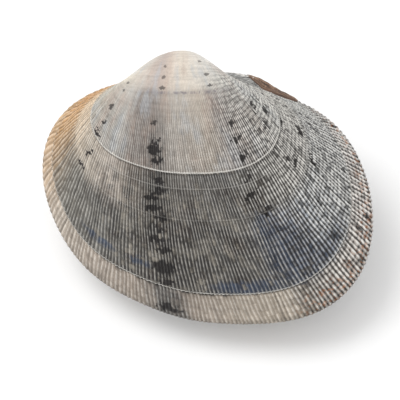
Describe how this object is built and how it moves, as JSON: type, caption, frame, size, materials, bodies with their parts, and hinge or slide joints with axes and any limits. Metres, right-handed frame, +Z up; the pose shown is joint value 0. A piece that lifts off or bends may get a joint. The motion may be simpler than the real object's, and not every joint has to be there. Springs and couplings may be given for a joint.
{
  "type": "clam shell",
  "caption": "Closed oval clam with two ribbed, hollow shell valves that open on a toothed hinge, joined by a leathery strap behind the beaks.",
  "frame": {"origin": "under the middle of the closed clam's bounding box, on the surface it lies on", "axes": "+Z up, the clam lying on its right valve; +X along the hinge line towards the animal's rear, where the strap is; +Y towards the beaks and hinge, so the free edge faces -Y"},
  "size_m": [0.0446, 0.0356, 0.0235],
  "materials": {
    "upper_shell": "matte",
    "lower_shell": "matte",
    "strap": "satin"
  },
  "bodies": {
    "lower_valve": {"right_valve": "lower_shell", "ligament": "strap"},
    "upper_valve": {"left_valve": "upper_shell"}
  },
  "joints": [
    {"name": "valve_hinge", "type": "hinge", "parent": "lower_valve", "child": "upper_valve", "pos_m": [-0.00456, 0.01541, 0.01466], "axis": [-0.9959, 0.0256, -0.0869], "range_deg": [0, 30], "deforming": ["ligament"]}
  ]
}
